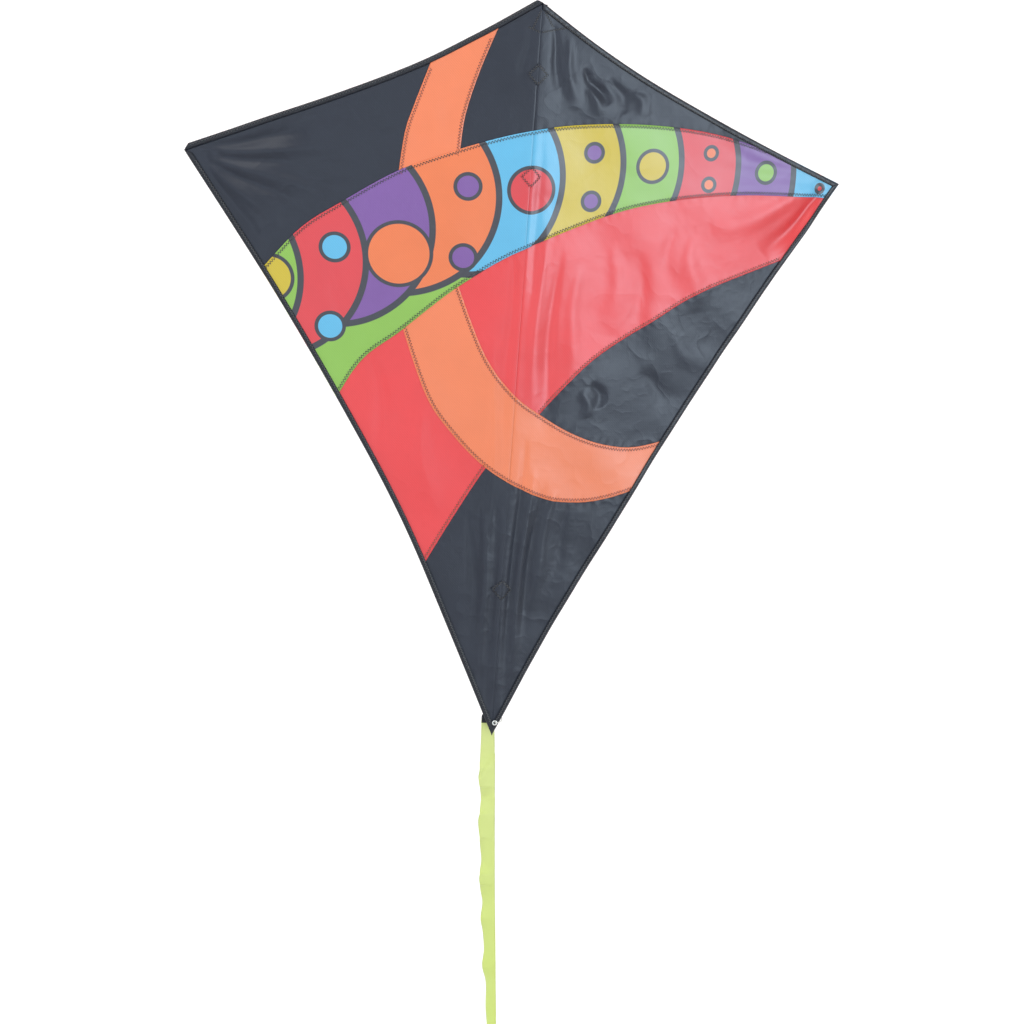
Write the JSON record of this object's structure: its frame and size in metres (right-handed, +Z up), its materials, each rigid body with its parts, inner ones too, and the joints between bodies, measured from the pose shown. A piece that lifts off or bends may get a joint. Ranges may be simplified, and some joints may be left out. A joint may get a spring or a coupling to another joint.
{
  "type": "diamond kite",
  "caption": "Diamond kite with an applique ripstop sail, swept-back folding wings on a springy spar hub, a sleeved spine and a long ribbon tail.",
  "frame": {"origin": "where the cross spars meet the spine, on the front of the sail's ridge", "axes": "+Z up the spine to the nose, -Y out of the sail's front, +X to the right seen from the front"},
  "size_m": [0.85, 0.1144, 1.42],
  "materials": {
    "charcoal_cloth": "ripstop nylon, soft sheen",
    "red_cloth": "ripstop nylon, soft sheen",
    "orange_cloth": "ripstop nylon, soft sheen",
    "printed_cloth": "printed ripstop in green, yellow, blue, purple, red and orange with dark outlines",
    "hem_tape": "woven tape with zigzag stitching",
    "ribbon": "thin lime streamer cloth",
    "white_line": "braided line",
    "fibreglass": "pultruded rod, gloss",
    "vinyl": "moulded vinyl, satin",
    "brass": "drawn tube",
    "elastic": "rubber band"
  },
  "bodies": {
    "spine": {"spine_rod_upper": "fibreglass", "spine_rod_lower": "fibreglass", "spine_ferrule": "brass", "nose_end_cap": "vinyl", "tail_end_cap": "vinyl", "nose_pocket": "hem_tape", "spine_sleeve_upper": "charcoal_cloth", "spine_sleeve_lower": "charcoal_cloth", "hub_core": "vinyl", "upper_bridle_patch": "hem_tape", "lower_bridle_patch": "hem_tape", "centre_patch": "hem_tape", "tail_tip_patch": "hem_tape", "tail_eyelet": "white_line", "tail_line": "white_line"},
    "left_wing": {"left_corner_black": "charcoal_cloth", "left_orange_stripe": "orange_cloth", "left_nose_black": "charcoal_cloth", "left_print_band": "printed_cloth", "left_red_side": "red_cloth", "left_orange_hook": "orange_cloth", "left_red_swoosh": "red_cloth", "left_foot_black": "charcoal_cloth", "left_upper_hem": "hem_tape", "left_lower_hem": "hem_tape", "left_hub_arm": "vinyl", "left_cross_spar": "fibreglass", "left_spar_cap": "vinyl", "left_tip_pocket": "hem_tape"},
    "right_wing": {"right_nose_black": "charcoal_cloth", "right_print_band": "printed_cloth", "right_red_swoosh": "red_cloth", "right_side_black": "charcoal_cloth", "right_orange_hook": "orange_cloth", "right_foot_black": "charcoal_cloth", "right_upper_hem": "hem_tape", "right_lower_hem": "hem_tape", "right_hub_arm": "vinyl", "right_cross_spar": "fibreglass", "right_spar_cap": "vinyl", "right_tip_pocket": "hem_tape"},
    "tail_link": {"tail_link": "white_line"},
    "tail": {"tail_tab": "hem_tape", "tail_ribbon": "ribbon", "tail_roll": "ribbon", "tail_tie": "elastic"}
  },
  "joints": [
    {"name": "left_wing_fold", "type": "hinge", "parent": "spine", "child": "left_wing", "pos_m": [-0.006, 0, 0], "axis": [0, 0, -1], "range_deg": [-12, 60], "stiffness_Nm_per_rad": 0.35},
    {"name": "right_wing_fold", "type": "hinge", "parent": "spine", "child": "right_wing", "pos_m": [0.006, 0, 0], "axis": [0, 0, 1], "range_deg": [-12, 60], "stiffness_Nm_per_rad": 0.35},
    {"name": "tail_swing", "type": "hinge", "parent": "spine", "child": "tail_link", "pos_m": [-0.004, 0.0135, -0.692], "axis": [0, 1, 0], "range_deg": [-60, 60]},
    {"name": "tail_lift", "type": "hinge", "parent": "tail_link", "child": "tail", "pos_m": [-0.004, 0.0135, -0.6956], "axis": [1, 0, 0], "range_deg": [-4, 70]}
  ]
}
